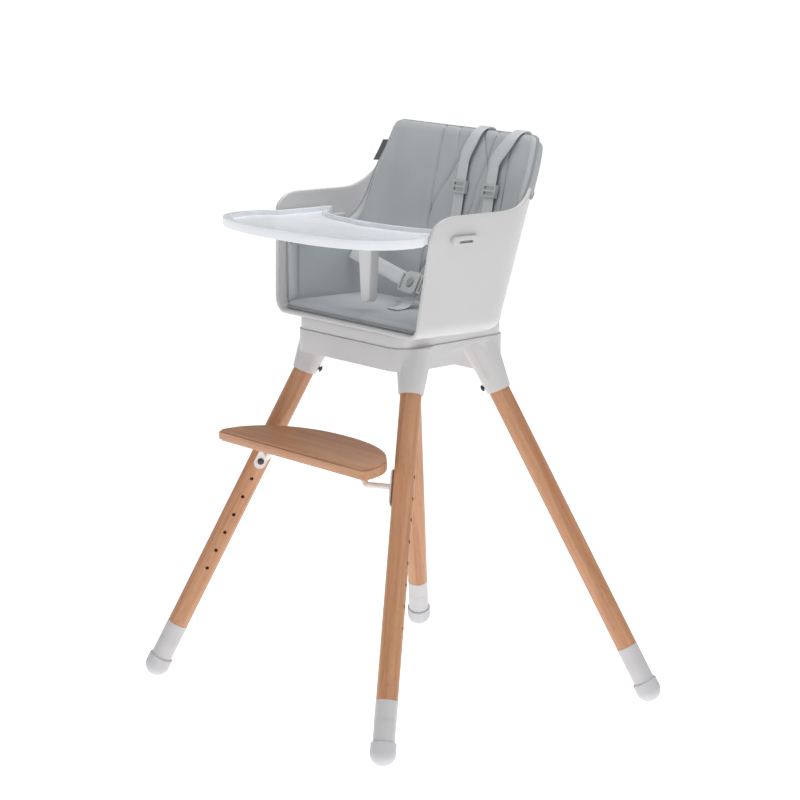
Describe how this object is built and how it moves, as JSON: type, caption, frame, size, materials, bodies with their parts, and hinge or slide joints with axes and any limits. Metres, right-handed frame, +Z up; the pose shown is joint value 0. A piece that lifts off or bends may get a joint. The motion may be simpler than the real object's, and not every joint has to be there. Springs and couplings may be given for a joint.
{
  "type": "high chair",
  "caption": "Baby high chair with a white bucket seat, grey padded liner, harness, sliding tray, and footrest on splayed beech legs.",
  "frame": {"origin": "on the floor, at the centre of the footprint", "axes": "+Z up, -Y the front where the tray and footrest are, X left to right"},
  "size_m": [0.6814, 0.6044, 0.9505],
  "materials": {
    "beech": "clear matt lacquer",
    "white_plastic": "satin, slightly warm white",
    "grey_plastic": "matt light grey",
    "dark_steel": "black coated",
    "steel": "zinc plated",
    "grey_cushion": "smooth matt coated fabric, blue-grey",
    "dark_label": "plain woven label",
    "webbing": "woven webbing",
    "buckle_plastic": "fine textured light grey",
    "white_metal": "white powder coat"
  },
  "bodies": {
    "chair": {"leg_front_left": "beech", "leg_front_right": "beech", "leg_rear_left": "beech", "leg_rear_right": "beech", "leg_sleeve_front_left": "white_plastic", "leg_sleeve_front_right": "white_plastic", "leg_sleeve_rear_left": "white_plastic", "leg_sleeve_rear_right": "white_plastic", "foot_cap_front_left": "grey_plastic", "foot_cap_front_right": "grey_plastic", "foot_cap_rear_left": "grey_plastic", "foot_cap_rear_right": "grey_plastic", "socket_screws": "dark_steel", "base_housing": "white_plastic", "seat_adapter": "white_plastic", "adapter_screws": "steel", "seat_shell": "white_plastic", "latch_pins": "steel", "tray_rail_left": "white_plastic", "tray_rail_right": "white_plastic", "back_liner": "grey_cushion", "seat_pad": "grey_cushion", "back_cover": "grey_cushion", "side_tag": "dark_label", "shoulder_strap_left": "webbing", "shoulder_strap_right": "webbing", "strap_anchors": "steel", "waist_strap_left": "webbing", "waist_strap_right": "webbing", "crotch_strap": "webbing", "buckle_body": "buckle_plastic", "buckle_tongue_left": "buckle_plastic", "buckle_tongue_right": "buckle_plastic", "seat_slot_plate": "buckle_plastic"},
    "tray": {"tray": "white_plastic", "crotch_post": "white_plastic", "post_screws": "steel"},
    "latch_left": {"tray_latch_left": "white_plastic"},
    "latch_right": {"tray_latch_right": "white_plastic"},
    "button": {"buckle_button": "grey_plastic"},
    "adjuster_left": {"strap_adjuster_left": "buckle_plastic"},
    "adjuster_right": {"strap_adjuster_right": "buckle_plastic"},
    "footrest": {"footrest_board": "beech", "rod_clips": "white_plastic"},
    "bracket_left": {"footrest_bracket_left": "white_metal", "footrest_screws_left": "dark_steel"},
    "bracket_right": {"footrest_bracket_right": "white_metal", "footrest_screws_right": "dark_steel"}
  },
  "joints": [
    {"name": "tray_slide", "type": "slide", "parent": "chair", "child": "tray", "axis": [0, -1, 0], "range_m": [0, 0.06]},
    {"name": "latch_left_turn", "type": "hinge", "parent": "chair", "child": "latch_left", "pos_m": [-0.2115, -0.057, 0.7915], "axis": [0.9933, 0, 0.1152], "range_deg": [0, 15], "stiffness_Nm_per_rad": 0.08},
    {"name": "latch_right_turn", "type": "hinge", "parent": "chair", "child": "latch_right", "pos_m": [0.2115, -0.057, 0.7915], "axis": [0.9933, 0, -0.1152], "range_deg": [0, 15], "stiffness_Nm_per_rad": 0.08},
    {"name": "buckle_press", "type": "slide", "parent": "chair", "child": "button", "axis": [0, 0.8829, -0.4695], "range_m": [0, 0.0015], "stiffness_N_per_m": 400},
    {"name": "adjuster_left_slide", "type": "slide", "parent": "chair", "child": "adjuster_left", "axis": [0, 0.1961, 0.9806], "range_m": [-0.02, 0.02]},
    {"name": "adjuster_right_slide", "type": "slide", "parent": "chair", "child": "adjuster_right", "axis": [0, 0.1961, 0.9806], "range_m": [-0.02, 0.02]},
    {"name": "footrest_height", "type": "slide", "parent": "chair", "child": "footrest", "axis": [0, -0.3436, -0.9391], "range_m": [0, 0.2003]},
    {"name": "bracket_left_slide", "type": "slide", "parent": "footrest", "child": "bracket_left", "axis": [-1, 0, 0], "range_m": [0, 0.0634]},
    {"name": "bracket_right_slide", "type": "slide", "parent": "footrest", "child": "bracket_right", "axis": [1, 0, 0], "range_m": [0, 0.0634]}
  ],
  "couplings": [
    {"joint": "bracket_left_slide", "follows": "footrest_height", "ratio": 0.3155},
    {"joint": "bracket_right_slide", "follows": "footrest_height", "ratio": 0.3155}
  ]
}
